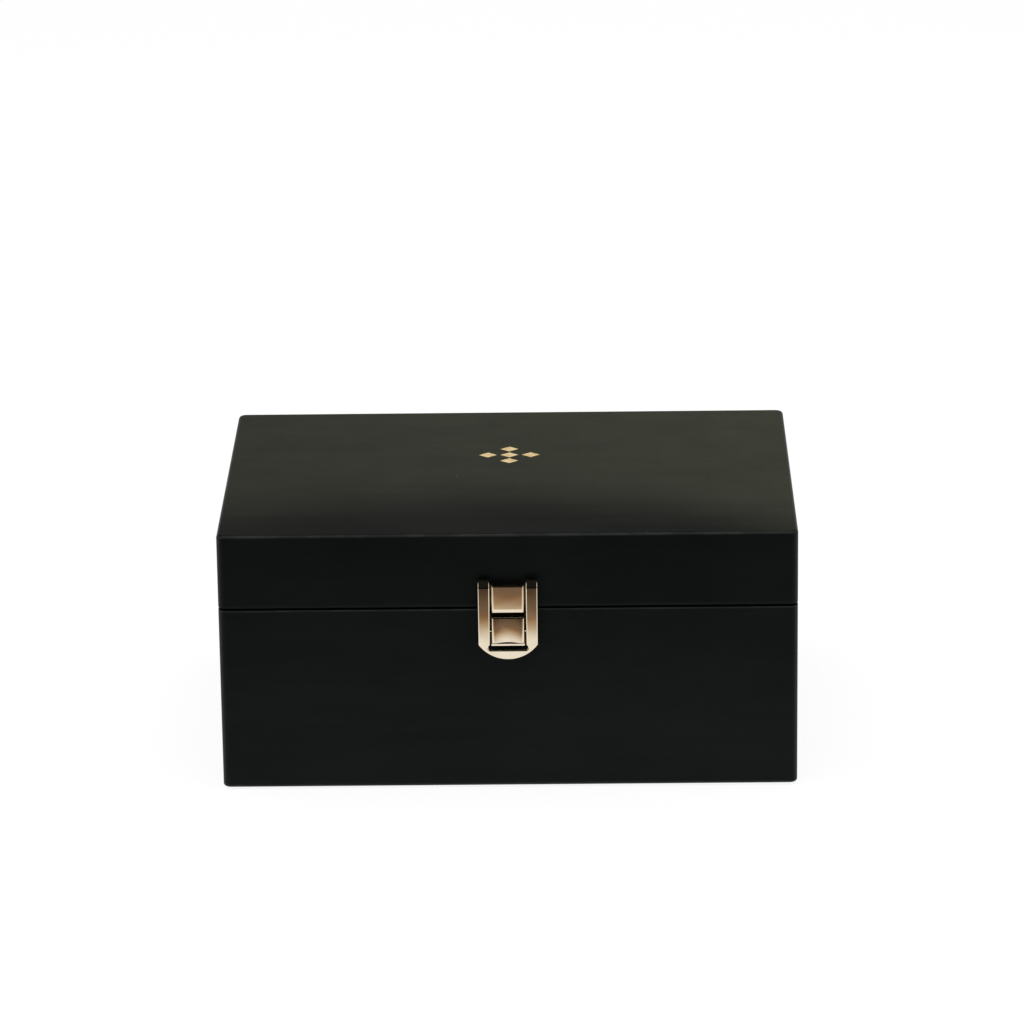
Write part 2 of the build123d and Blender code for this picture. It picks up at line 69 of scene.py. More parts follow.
# Small helpers for node trees
def feed(tree, socket, value):
    """Links a socket to another, or sets its value."""
    if isinstance(value, bpy.types.NodeSocket):
        tree.links.new(value, socket)
    else:
        socket.default_value = value


def add(tree, kind, inputs=None, **settings):
    """A new node with its settings made and its inputs fed."""
    node = tree.nodes.new(kind)
    for name, value in settings.items():
        setattr(node, name, value)
    for name, value in (inputs or {}).items():
        feed(tree, node.inputs[name], value)
    return node


def calc(tree, operation, *values, clamp=False):
    """The result of one Math node."""
    inputs = dict(enumerate(values))
    return add(tree, "ShaderNodeMath", inputs, operation=operation, use_clamp=clamp).outputs[0]


def chain(tree, operation, values):
    """Values taken together by one operation, from the left."""
    total = values[0]
    for value in values[1:]:
        total = calc(tree, operation, total, value)
    return total


def plus(tree, *values):
    """The sum of values."""
    return chain(tree, "ADD", values)


def minus(tree, first, second):
    """The first value less the second."""
    return calc(tree, "SUBTRACT", first, second)


def times(tree, *values):
    """The product of values."""
    return chain(tree, "MULTIPLY", values)


def weighed(tree, share, first, second):
    """A share of the first value, and the rest of the second."""
    return plus(tree, times(tree, first, share), times(tree, second, 1.0 - share))


def vector_calc(tree, operation, *values):
    """The result of one Vector Math node."""
    return add(tree, "ShaderNodeVectorMath", dict(enumerate(values)), operation=operation).outputs["Vector"]


def ramp(tree, value, low, high, to_low=0.0, to_high=1.0, smooth=True):
    """The value taken from one range to another, and held at its ends."""
    kind = "SMOOTHSTEP" if smooth else "LINEAR"
    inputs = {"Value": value, "From Min": low, "From Max": high, "To Min": to_low, "To Max": to_high}
    return add(tree, "ShaderNodeMapRange", inputs, interpolation_type=kind).outputs["Result"]


def blend_colours(tree, share, first, second):
    """A mix of two colours. The Mix node's colours are its sockets 6 and 7, and its result is 2."""
    return add(tree, "ShaderNodeMix", {0: share, 6: first, 7: second}, data_type="RGBA").outputs[2]


def noise_at(tree, place, scale, detail=2.0, roughness=0.5):
    """Noise from 0 to 1 at a place."""
    inputs = {"Vector": place, "Scale": scale, "Detail": detail, "Roughness": roughness}
    return add(tree, "ShaderNodeTexNoise", inputs).outputs["Fac"]


def object_place(tree):
    """Object coordinates, which are the box's own, in metres."""
    return add(tree, "ShaderNodeTexCoord").outputs["Object"]


def axes(tree, place):
    """A place's X, Y and Z."""
    return add(tree, "ShaderNodeSeparateXYZ", {"Vector": place}).outputs


def new_group(name, inputs, outputs):
    """An empty shader group with its sockets. Gives the group, its inputs and its output node."""
    group = bpy.data.node_groups.new(name, "ShaderNodeTree")
    kinds = {"float": "NodeSocketFloat", "vector": "NodeSocketVector"}
    for side, sockets in (("INPUT", inputs), ("OUTPUT", outputs)):
        for socket, kind in sockets.items():
            group.interface.new_socket(socket, in_out=side, socket_type=kinds[kind])
    return group, add(group, "NodeGroupInput").outputs, add(group, "NodeGroupOutput").inputs


def use_group(tree, group, **values):
    """A group placed in a tree. Spaces in its inputs' names are written as underscores."""
    inputs = {name.replace("_", " "): value for name, value in values.items()}
    return add(tree, "ShaderNodeGroup", inputs, node_tree=group).outputs


# Effects that several materials use
GRAIN_STRAY = 14 * MM  # width of the band in which a line of grain wavers
FOOT_RIM_FADE = 0.74  # how fast the rim along a face's foot fades, beside those along its sides
FOOT_RIM_DEPTH = 1.15  # and how deep it is


def make_grain_group():
    """Long wood grain: streaks that run with the board, wavering a little."""
    group, given, out = new_group(
        "wood_grain", {"Place": "vector", "Run": "vector"}, {"Streaks": "float", "Pores": "float"}
    )
    waver = add(group, "ShaderNodeTexNoise", {"Vector": given["Place"], "Scale": 14.0, "Detail": 2.0})
    shift = vector_calc(group, "SUBTRACT", waver.outputs["Color"], (0.5, 0.5, 0.5))
    shift = vector_calc(group, "MULTIPLY", shift, (GRAIN_STRAY, GRAIN_STRAY, GRAIN_STRAY))
    place = vector_calc(group, "ADD", given["Place"], shift)
    drawn = vector_calc(group, "MULTIPLY", place, given["Run"])
    broad = noise_at(group, drawn, scale=0.28, detail=3.0, roughness=0.55)
    fine = noise_at(group, drawn, scale=1.0, detail=5.0, roughness=0.62)
    feed(group, out["Streaks"], ramp(group, weighed(group, 0.62, broad, fine), 0.36, 0.64))
    feed(group, out["Pores"], ramp(group, noise_at(group, drawn, scale=2.6), 0.30, 0.42))
    return group


def make_fleck_group():
    """Sparse small chips: a few cells of a scatter, each with one ragged fleck."""
    group, given, out = new_group(
        "flecks", {"Place": "vector", "Spacing": "float", "Size": "float", "Share": "float"},
        {"Mask": "float"},
    )
    scale = calc(group, "DIVIDE", 1.0, given["Spacing"])
    cells = add(group, "ShaderNodeTexVoronoi", {"Vector": given["Place"], "Scale": scale})
    reach = times(group, cells.outputs["Distance"], given["Spacing"])
    ragged = noise_at(group, given["Place"], scale=2600.0, detail=1.0)
    size = times(group, given["Size"], plus(group, ragged, 0.5))
    spot = calc(group, "LESS_THAN", reach, size)
    chance = add(group, "ShaderNodeSeparateColor", {"Color": cells.outputs["Color"]}).outputs["Red"]
    feed(group, out["Mask"], times(group, spot, calc(group, "LESS_THAN", chance, given["Share"])))
    return group


def make_arris_group():
    """How near a point is to an outer edge of the box, from 0 to 1 at the edge."""
    sizes = ("Half width", "Half depth", "Foot", "Seam", "Top", "Reach")
    group, given, out = new_group(
        "box_arris", {"Place": "vector", **{size: "float" for size in sizes}}, {"Mask": "float"}
    )
    along = axes(group, given["Place"])
    to_side = minus(group, given["Half width"], calc(group, "ABSOLUTE", along["X"]))
    to_end = minus(group, given["Half depth"], calc(group, "ABSOLUTE", along["Y"]))
    to_levels = [
        calc(group, "ABSOLUTE", minus(group, along["Z"], given[level])) for level in ("Foot", "Seam", "Top")
    ]
    upright = calc(group, "MAXIMUM", to_side, to_end)
    level = calc(group, "MAXIMUM", chain(group, "MINIMUM", to_levels),
                 calc(group, "MINIMUM", to_side, to_end))
    nearest = calc(group, "MINIMUM", upright, level)
    feed(group, out["Mask"], ramp(group, nearest, 0.0, given["Reach"], 1.0, 0.0))
    return group


def make_rim_group():
    """The height of a face's rolled rims, along its two sides and, wider and deeper, along its foot."""
    sizes = ("Inner", "Outer", "Foot", "Reach", "Fall")
    group, given, out = new_group(
        "rolled_rims", {"Place": "vector", **{size: "float" for size in sizes}}, {"Height": "float"}
    )
    along = axes(group, given["Place"])
    away = calc(group, "ABSOLUTE", along["X"])
    rims = (
        (minus(group, given["Outer"], away), 1.0),
        (minus(group, away, given["Inner"]), 1.0),
        (times(group, minus(group, along["Z"], given["Foot"]), FOOT_RIM_FADE), FOOT_RIM_DEPTH),
    )
    falls = []
    for clear, depth in rims:
        near = calc(group, "SUBTRACT", 1.0, calc(group, "DIVIDE", clear, given["Reach"]), clamp=True)
        falls.append(times(group, near, near, depth))
    feed(group, out["Height"], times(group, plus(group, *falls), given["Fall"], -1.0))
    return group


def make_crown_group():
    """The height of a pressed crown, whose top line bows down towards its sides."""
    sizes = ("Level", "Curve", "Bow")
    group, given, out = new_group(
        "pressed_crown", {"Place": "vector", **{size: "float" for size in sizes}}, {"Height": "float"}
    )
    along = axes(group, given["Place"])
    bow = times(group, along["X"], along["X"], given["Bow"])
    above = plus(group, minus(group, along["Z"], given["Level"]), bow)
    feed(group, out["Height"], times(group, above, above, given["Curve"], -0.5))
    return group


def make_pile_group():
    """Short velvet pile: brushed patches, and a fine nap."""
    group, given, out = new_group(
        "velvet_pile", {"Place": "vector"}, {"Brushed": "float", "Nap": "float"}
    )
    stretched = vector_calc(group, "MULTIPLY", given["Place"], (1.0, 1.6, 1.3))
    patches = noise_at(group, stretched, scale=26.0, detail=3.0, roughness=0.6)
    feed(group, out["Brushed"], ramp(group, patches, 0.35, 0.68))
    feed(group, out["Nap"], noise_at(group, given["Place"], scale=2400.0, roughness=0.7))
    return group


def make_smudge_group():
    """Faint smears and hairline scratches on polished metal."""
    group, given, out = new_group(
        "polish_marks", {"Place": "vector", "Along": "vector"}, {"Smears": "float", "Hairlines": "float"}
    )
    smears = noise_at(group, given["Place"], scale=210.0, detail=3.0)
    feed(group, out["Smears"], ramp(group, smears, 0.35, 0.75))
    drawn = vector_calc(group, "MULTIPLY", given["Place"], given["Along"])
    feed(group, out["Hairlines"], noise_at(group, drawn, scale=1.0, detail=3.0, roughness=0.7))
    return group


GRAIN = make_grain_group()
FLECKS = make_fleck_group()
ARRIS = make_arris_group()
RIMS = make_rim_group()
CROWN = make_crown_group()
PILE = make_pile_group()
MARKS = make_smudge_group()


# Materials
def new_material(name, **fixed):
    """A material with its Principled shader, and fixed values on the shader's own sockets."""
    material = bpy.data.materials.new(name)
    material.use_nodes = True
    shader = material.node_tree.nodes["Principled BSDF"]
    for socket, value in fixed.items():
        shader.inputs[socket.replace("_", " ")].default_value = value
    return material, material.node_tree, shader.inputs


def bumped(tree, shader, height, distance, strength=1.0):
    """Feeds a bump, with its height in shares of distance, to the shader's normal."""
    inputs = {"Height": height, "Distance": distance, "Strength": strength}
    feed(tree, shader["Normal"], add(tree, "ShaderNodeBump", inputs).outputs["Normal"])


# Black wood. A run of grain is in cells of noise to the metre along X, Y and Z
GRAIN_ACROSS = (24.0, 420.0, 420.0)
GRAIN_DEEP = (420.0, 24.0, 420.0)
GRAIN_LONG = (14.0, 420.0, 420.0)
GRAIN_TURN = math.radians(1.6)
STREAKY = 0.50  # share of the grain's streaks in the tone, beside its clouds
STREAKY_UNDER_SHEEN = 0.28
STREAK_RELIEF = 0.014 * MM
PORE_DEPTH = 0.006 * MM
CHIP_DEPTH = 0.05 * MM
BLACK = (0.0022, 0.0031, 0.0027, 1.0)
# the dark joint, and painted shadow on the rounded edges beside it
JOINT_SHADOW_BLACK = (0.0004, 0.0005, 0.0005, 1.0)
BLACK_WORN = (0.0042, 0.0052, 0.0045, 1.0)
# painted sheen: a pale, warm reflection of the backdrop, mixed into the lid top's colour
LID_SHEEN_COLOUR = (0.0358, 0.0371, 0.0247, 1.0)
CHIPPED = (0.21, 0.20, 0.17, 1.0)
# painted highlight along the box's rounded edges
PAINTED_EDGE_HIGHLIGHT = (0.034, 0.037, 0.035, 1.0)
ARRIS_REACH = 1.6 * MM
BODY_HIGHLIGHT_MORE = 1.8  # how much brighter the painted highlight is on the body's edges than on the lid's
JOINT_SHADOW_LOWER_EDGE = (-0.70 * MM, -0.40 * MM)  # soft edges of the dark joint and of its painted shadow on the rounded edges, over the seam
JOINT_SHADOW_UPPER_EDGE = (0.7 * MM, 1.1 * MM)

# The painted sheen on the lid, which stands in for the backdrop's reflection, begins along an arc, which
# lies furthest back a little left of the middle
LID_SHEEN_FROM = -74 * MM
LID_SHEEN_FULL = 2 * MM
LID_SHEEN_ARC_LEAN = 0.16  # how far left the arc's middle lies, in half widths
LID_SHEEN_ARC = 30 * MM  # how far the arc comes forward, half a width away from there
LID_SHEEN_WANDER = 16 * MM
LID_SHEEN_RISES_FROM = -20 * MM  # from here to the back it grows a little
LID_SHEEN_FRONT_TO_BACK = (0.92, 1.08)
LID_SHEEN_LEFT_TO_RIGHT = (0.79, 1.19)
LID_SHEEN_LEVELS = (TOP - 1.2 * MM, TOP - 0.2 * MM)  # it ends on the board's eased edge
LID_SHEEN_PLAIN = 0.32  # strength of the painted sheen: an even part, and parts that vary
LID_SHEEN_IN_STREAKS = 0.04
LID_SHEEN_IN_BLOTCHES = 0.42
LID_SHEEN_IN_MOTTLE = 0.40


def lid_painted_sheen(tree, place, streaks):
    """Painted sheen on the lid's top, mottled like haze, from 0 up. It is left off along the front."""
    along = axes(tree, place)
    across = calc(tree, "DIVIDE", along["X"], HALF_WIDTH)
    lean = plus(tree, across, LID_SHEEN_ARC_LEAN)
    drift = times(tree, lean, lean, LID_SHEEN_ARC)
    wander = times(tree, minus(tree, noise_at(tree, place, scale=14.0), 0.5), LID_SHEEN_WANDER)
    near = ramp(tree, plus(tree, along["Y"], drift, wander), LID_SHEEN_FROM, LID_SHEEN_FULL)
    far = ramp(tree, along["Y"], LID_SHEEN_RISES_FROM, HALF_DEPTH, *LID_SHEEN_FRONT_TO_BACK, smooth=False)
    side = ramp(tree, across, -1.0, 1.0, *LID_SHEEN_LEFT_TO_RIGHT, smooth=False)
    upper = ramp(tree, along["Z"], *LID_SHEEN_LEVELS)
    blotches = noise_at(tree, place, scale=46.0, detail=5.0, roughness=0.66)
    mottle = noise_at(tree, place, scale=430.0, roughness=0.6)
    drawn = plus(
        tree, times(tree, streaks, LID_SHEEN_IN_STREAKS), times(tree, blotches, LID_SHEEN_IN_BLOTCHES), LID_SHEEN_PLAIN,
        times(tree, mottle, LID_SHEEN_IN_MOTTLE),
    )
    return times(tree, near, far, side, upper, drawn)


def painted_edge_highlights(tree, place, arris, over_seam):
    """Painted highlight along the edges, in patches, and brighter on the body than on the lid."""
    patchy = ramp(tree, noise_at(tree, place, scale=120.0, detail=3.0), 0.42, 0.62)
    edge_highlight = times(tree, arris, plus(tree, times(tree, patchy, 0.35), 0.6))
    body_more = ramp(tree, over_seam, -2.0 * MM, 0.0, to_low=BODY_HIGHLIGHT_MORE, to_high=1.0, smooth=False)
    return times(tree, edge_highlight, body_more)


def joint_and_painted_shadow(tree, over_seam):
    """The dark joint between body and lid, with painted shadow over the rounded edges beside it, from 0 to
    1.
    """
    from_body = ramp(tree, over_seam, *JOINT_SHADOW_LOWER_EDGE)
    to_lid = ramp(tree, over_seam, *JOINT_SHADOW_UPPER_EDGE, to_low=1.0, to_high=0.0)
    return times(tree, from_body, to_lid)


def chipped_spots(tree, place, arris):
    """Small chips, from 0 to 1: a few on the faces, and closer ones along the edges."""
    loose = use_group(tree, FLECKS, Place=place, Spacing=23 * MM, Size=0.35 * MM, Share=0.16)["Mask"]
    close = use_group(tree, FLECKS, Place=place, Spacing=11 * MM, Size=0.45 * MM, Share=0.30)["Mask"]
    return calc(tree, "MAXIMUM", loose, times(tree, close, arris))


def black_wood(name, run, with_lid_sheen=False):
    """Black stained wood under satin lacquer, with its grain along one axis."""
    material, tree, shader = new_material(name, Specular_IOR_Level=0.13, IOR=1.45,
                                          Specular_Tint=(0.90, 1.0, 0.96, 1.0))
    place = object_place(tree)
    turned = add(tree, "ShaderNodeVectorRotate", {"Vector": place, "Angle": GRAIN_TURN},
                 rotation_type="Z_AXIS").outputs[0]
    grain = use_group(tree, GRAIN, Place=turned, Run=run)
    clouds = ramp(tree, noise_at(tree, place, scale=17.0, detail=3.0, roughness=0.55), 0.34, 0.70)
    streaky = STREAKY_UNDER_SHEEN if with_lid_sheen else STREAKY
    tone = weighed(tree, streaky, grain["Streaks"], clouds)
    colour = blend_colours(tree, tone, BLACK, BLACK_WORN)
    # painted sheen on the lid's top, paler and warmer towards the back and the right
    if with_lid_sheen:
        colour = blend_colours(tree, lid_painted_sheen(tree, place, grain["Streaks"]), colour, LID_SHEEN_COLOUR)
    arris = use_group(
        tree, ARRIS, Place=place, Half_width=HALF_WIDTH, Half_depth=HALF_DEPTH,
        Foot=FOOT, Seam=SEAM, Top=TOP, Reach=ARRIS_REACH,
    )["Mask"]
    over_seam = minus(tree, axes(tree, place)["Z"], SEAM)
    joint_shadow = joint_and_painted_shadow(tree, over_seam)
    edge_highlight = times(tree, painted_edge_highlights(tree, place, arris, over_seam), minus(tree, 1.0, joint_shadow))
    # painted highlight on the rounded edges, kept off the joint
    colour = blend_colours(tree, edge_highlight, colour, PAINTED_EDGE_HIGHLIGHT)
    # the dark joint, and painted shadow on the rounded edges beside it
    colour = blend_colours(tree, joint_shadow, colour, JOINT_SHADOW_BLACK)
    chips = chipped_spots(tree, place, arris)
    feed(tree, shader["Base Color"], blend_colours(tree, chips, colour, CHIPPED))
    rough = ramp(tree, tone, 0.0, 1.0, to_low=0.47, to_high=0.40, smooth=False)
    feed(tree, shader["Roughness"], plus(tree, rough, times(tree, clouds, 0.03)))
    streak_relief = times(tree, grain["Streaks"], streaky * STREAK_RELIEF)
    pore_relief = times(tree, minus(tree, 1.0, grain["Pores"]), PORE_DEPTH)
    relief = minus(tree, streak_relief, pore_relief)
    bumped(tree, shader, minus(tree, relief, times(tree, chips, CHIP_DEPTH)), 1.0)
    return material


PLY_DARK = (0.30, 0.19, 0.10, 1.0)
PLY_PALE = (0.47, 0.33, 0.20, 1.0)


def bare_ply(name):
    """Unfinished plywood for the base board, which the pads and the baize cover."""
    material, tree, shader = new_material(name, Roughness=0.7)
    place = object_place(tree)
    grain = use_group(tree, GRAIN, Place=place, Run=GRAIN_LONG)
    feed(tree, shader["Base Color"], blend_colours(tree, grain["Streaks"], PLY_DARK, PLY_PALE))
    bumped(tree, shader, grain["Pores"], 0.03 * MM)
    return material


VELVET_DEEP = (0.075, 0.004, 0.010, 1.0)
VELVET_BRUSHED = (0.185, 0.012, 0.026, 1.0)


def velvet(name, deep, brushed):
    """Short-pile velvet with brushed patches and a soft bloom at grazing angles."""
    material, tree, shader = new_material(name, Sheen_Weight=0.40, Sheen_Roughness=0.35,
                                          Sheen_Tint=(0.92, 0.20, 0.25, 1.0), Specular_IOR_Level=0.12)
    place = object_place(tree)
    pile = use_group(tree, PILE, Place=place)
    share = weighed(tree, 0.7, pile["Brushed"], pile["Nap"])
    feed(tree, shader["Base Color"], blend_colours(tree, share, deep, brushed))
    feed(tree, shader["Roughness"],
         ramp(tree, pile["Brushed"], 0.0, 1.0, to_low=0.95, to_high=0.82, smooth=False))
    lie = plus(tree, pile["Nap"], times(tree, pile["Brushed"], 0.4))
    bumped(tree, shader, lie, 0.16 * MM, strength=0.8)
    return material


BAIZE_DEEP = (0.006, 0.022, 0.013, 1.0)
BAIZE_RAISED = (0.014, 0.048, 0.028, 1.0)


def baize(name):
    """Green-black wool baize: felted fibres, slightly clumped."""
    material, tree, shader = new_material(name, Sheen_Weight=0.25, Sheen_Roughness=0.5,
                                          Specular_IOR_Level=0.1, Roughness=0.95)
    place = object_place(tree)
    fibres = noise_at(tree, place, scale=1500.0, detail=4.0, roughness=0.75)
    clumps = noise_at(tree, place, scale=160.0, detail=3.0, roughness=0.6)
    share = weighed(tree, 0.6, fibres, clumps)
    feed(tree, shader["Base Color"],
         blend_colours(tree, ramp(tree, share, 0.35, 0.65), BAIZE_DEEP, BAIZE_RAISED))
    bumped(tree, shader, share, 0.25 * MM, strength=0.9)
    return material


PALE_GOLD = (0.83, 0.735, 0.575, 1.0)
PALE_GOLD_DULL = (0.76, 0.66, 0.50, 1.0)
# painted shade in the gaps behind the latch's panel and lever
LATCH_SHADE = (0.085, 0.062, 0.041, 1.0)
FRAYED = 0.6 * MM  # how raggedly the painted shade ends
LATCH_SHADE_SIDES = (GAP_X + 0.7 * MM, GAP_X + 1.4 * MM)
LATCH_SHADE_DEPTHS = (-HALF_DEPTH - 2.4 * MM, -HALF_DEPTH - 1.6 * MM)
WOBBLE = 0.010 * MM
HAIRLINE_DEPTH = 0.0004 * MM
CROWN_CURVE = 2.1  # one over the crown's radius in metres
CROWN_BOW = 165.0  # drop of the crown's top line, over its distance from the middle squared, in metres
RIM_REACH = 1.4 * MM
RIM_FALL = 0.34 * MM


def painted_shade_behind_latch(tree, place):
    """Painted shade where a plate lies close to the wall, behind the panel and the lever, from 0 to 1."""
    along = axes(tree, place)
    frayed = times(tree, noise_at(tree, place, scale=900.0, detail=3.0), FRAYED)
    away = plus(tree, calc(tree, "ABSOLUTE", along["X"]), frayed)
    return times(tree, ramp(tree, away, *LATCH_SHADE_SIDES, 1.0, 0.0), ramp(tree, along["Y"], *LATCH_SHADE_DEPTHS))


def latch_gold(name, lean=0.0, crown=None, rims=None, shaded_behind=False):
    """Polished pale gold plating.

    A lean turns a pressed face a little downwards, in degrees. A crown is the level of a pressed
    face's top line. Rims are a face's inner side, outer side and foot, where its edges roll back.
    Where it lies behind the panel and the lever, a piece can take painted shade, dark and dull.
    """
    material, tree, shader = new_material(name, Metallic=1.0)
    place = object_place(tree)
    marks = use_group(tree, MARKS, Place=place, Along=(900.0, 900.0, 60.0))
    colour = blend_colours(tree, times(tree, marks["Smears"], 0.5), PALE_GOLD, PALE_GOLD_DULL)
    rough = ramp(tree, marks["Smears"], 0.0, 1.0, to_low=0.035, to_high=0.085, smooth=False)
    # painted shade behind the panel and the lever, which is also made duller
    if shaded_behind:
        behind_shade = painted_shade_behind_latch(tree, place)
        colour = blend_colours(tree, behind_shade, colour, LATCH_SHADE)
        rough = plus(tree, rough, times(tree, behind_shade, 0.4))
    feed(tree, shader["Base Color"], colour)
    feed(tree, shader["Roughness"], rough)
    wobble = times(tree, noise_at(tree, place, scale=130.0, detail=1.0), WOBBLE)
    relief = plus(tree, wobble, times(tree, marks["Hairlines"], HAIRLINE_DEPTH))
    if lean:
        slope = math.tan(math.radians(lean))
        relief = plus(tree, relief, times(tree, axes(tree, place)["Z"], slope))
    if crown:
        pressed = use_group(tree, CROWN, Place=place, Level=crown, Curve=CROWN_CURVE, Bow=CROWN_BOW)
        relief = plus(tree, relief, pressed["Height"])
    if rims:
        inner, outer, foot = rims
        rolled = use_group(tree, RIMS, Place=place, Inner=inner, Outer=outer, Foot=foot, Reach=RIM_REACH,
                           Fall=RIM_FALL)
        relief = plus(tree, relief, rolled["Height"])
    bumped(tree, shader, relief, 1.0)
    return material


BRASS = (0.80, 0.62, 0.33, 1.0)
BRASS_DULL = (0.70, 0.52, 0.26, 1.0)


def hinge_brass(name):
    """Polished brass, a little deeper than the latch, with drawn hairlines along the leaves."""
    material, tree, shader = new_material(name, Metallic=0.72)
    place = object_place(tree)
    marks = use_group(tree, MARKS, Place=place, Along=(40.0, 1400.0, 1400.0))
    feed(tree, shader["Base Color"], blend_colours(tree, marks["Smears"], BRASS, BRASS_DULL))
    feed(tree, shader["Roughness"],
         ramp(tree, marks["Smears"], 0.0, 1.0, to_low=0.20, to_high=0.30, smooth=False))
    bumped(tree, shader, marks["Hairlines"], 0.002 * MM)
    return material


FOIL_THIN = (0.74, 0.54, 0.265, 1.0)
FOIL = (1.0, 0.78, 0.42, 1.0)


def gold_foil(name):
    """Hot-stamped foil: soft metal lustre over the wood's grain, thin in places."""
    material, tree, shader = new_material(name, Metallic=0.3)
    place = object_place(tree)
    grain = use_group(tree, GRAIN, Place=place, Run=GRAIN_LONG)
    thick = ramp(tree, noise_at(tree, place, scale=420.0, detail=3.0, roughness=0.6), 0.30, 0.62)
    feed(tree, shader["Base Color"], blend_colours(tree, thick, FOIL_THIN, FOIL))
    feed(tree, shader["Roughness"], ramp(tree, thick, 0.0, 1.0, to_low=0.48, to_high=0.34, smooth=False))
    bumped(tree, shader, grain["Streaks"], 0.02 * MM)
    return material


def dress(material, *names):
    """Gives a material to CAD nodes."""
    for name in names:
        mesh = nodes[name].data
        mesh.materials.clear()
        mesh.materials.append(material)


across_wood = black_wood("black_wood_across", GRAIN_ACROSS)
deep_wood = black_wood("black_wood_deep", GRAIN_DEEP)
board_wood = black_wood("black_wood_lid_board", GRAIN_ACROSS, with_lid_sheen=True)
lining = velvet("burgundy_velvet", VELVET_DEEP, VELVET_BRUSHED)
brass = hinge_brass("hinge_brass")

dress(across_wood, "body_front_wall", "body_back_wall", "lid_front_rail", "lid_back_rail")
dress(deep_wood, "body_left_wall", "body_right_wall", "lid_left_rail", "lid_right_rail")
dress(board_wood, "lid_top_board")
dress(bare_ply("bare_ply"), "base_board")
for piece_side in ("front", "back", "left", "right"):
    dress(lining, f"body_{piece_side}_liner", f"lid_{piece_side}_liner")
dress(lining, "divider")
for hand in ("left", "right"):
    dress(brass, f"hinge_body_leaf_{hand}", f"hinge_lid_leaf_{hand}", f"hinge_pin_{hand}")
dress(brass, "hinge_body_screws", "hinge_lid_screws")

# The latch. A lean is in degrees, and a rim that a face lacks lies out of reach
PANEL_LEAN = 1.12
CLAW_LEAN = 0.09
OUT_OF_REACH = -1.0
lever_crown = lever_low.z + 3.7 * MM
panel_rims = (OUT_OF_REACH, lever_high.x, strike_low.z)
lever_rims = (OUT_OF_REACH, lever_high.x, OUT_OF_REACH)
dress(latch_gold("latch_gold_strike", lean=PANEL_LEAN, rims=panel_rims, shaded_behind=True), "latch_strike")
dress(latch_gold("latch_gold_lever", crown=lever_crown, rims=lever_rims), "latch_lever")
dress(latch_gold("latch_gold_claw", lean=CLAW_LEAN), "latch_claw")
dress(latch_gold("latch_gold_plate", shaded_behind=True), "latch_base_plate")
dress(latch_gold("latch_gold"), "latch_base_nails", "latch_strike_nails", "latch_lever_pin", "latch_rivet")


# Pieces made here
def piece_from(name, mesh, material, body, *replaced):
    """A finished piece at the origin, on its body, in place of CAD nodes."""
    piece = bpy.data.objects.new(name, mesh)
    bpy.context.scene.collection.objects.link(piece)
    mesh.materials.clear()
    mesh.materials.append(material)
    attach(piece, body)
    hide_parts(*replaced)
    return piece


# Pads: cloth over foam
PAD_CELL = 3.0 * MM
PAD_EDGE = 2.6 * MM  # width of the rounded rim
PAD_RIM_SHARE = 0.45  # how much of its thickness a pad keeps at its very rim
PAD_FINER_RIM = 0.35  # how much finer the cells are at the rim, from 0 to 1
PAD_RIPPLE = 0.25 * MM
PAD_MARGIN = Vector((0.3, 0.3, 0.0)) * MM
PUFF_LIMIT = 0.6 * MM
PUFF_PRESSURE = 4.0
PUFF_FRAMES = 20


def pad_mesh(name, low, high, crown, shown_up, seed):
    """A closed slab of cloth over foam: flat where it rests, crowned and drawn in where it shows."""
    centre = (low + high) / 2
    half = (high - low) / 2
    columns = round(2 * half.x / PAD_CELL)
    rows = round(2 * half.y / PAD_CELL)
    thickness = high.z - low.z
    back = low.z if shown_up else high.z
    out = 1.0 if shown_up else -1.0

    def rounded(share):
        """Moves a share from -1 to 1 closer to its ends, so that cells are finer at the rim."""
        return math.sin(share * math.pi / 2) * PAD_FINER_RIM + share * (1 - PAD_FINER_RIM)

    mesh = bmesh.new()
    shown, resting = {}, {}
    for i in range(columns + 1):
        for j in range(rows + 1):
            u = rounded(2 * i / columns - 1)
            v = rounded(2 * j / rows - 1)
            x, y = centre.x + u * half.x, centre.y + v * half.y
            rim = min(half.x * (1 - abs(u)), half.y * (1 - abs(v)))
            roll = min(rim / PAD_EDGE, 1.0)
            edge = math.sqrt(max(1 - (1 - roll) ** 2, 0.0))
            swell = crown * (1 - u ** 4) * (1 - v ** 4)
            ripple = PAD_RIPPLE * noise.noise(Vector((x * 38, y * 31, seed))) * edge
            slab = (thickness - crown) * (PAD_RIM_SHARE + (1 - PAD_RIM_SHARE) * edge)
            shown[i, j] = mesh.verts.new((x, y, back + out * (slab + swell * edge + ripple)))
            resting[i, j] = mesh.verts.new((x, y, back))
    for i in range(columns):
        for j in range(rows):
            corners = ((i, j), (i + 1, j), (i + 1, j + 1), (i, j + 1))
            mesh.faces.new([shown[c] for c in corners])
            mesh.faces.new([resting[c] for c in reversed(corners)])
    rim_path = [(i, 0) for i in range(columns)] + [(columns, j) for j in range(rows)]
    rim_path += [(i, rows) for i in range(columns, 0, -1)] + [(0, j) for j in range(rows, 0, -1)]
    for here, there in zip(rim_path, rim_path[1:] + rim_path[:1]):
        mesh.faces.new((shown[here], resting[here], resting[there], shown[there]))
    bmesh.ops.recalc_face_normals(mesh, faces=mesh.faces)
    data = bpy.data.meshes.new(name)
    mesh.to_mesh(data)
    mesh.free()
    return data


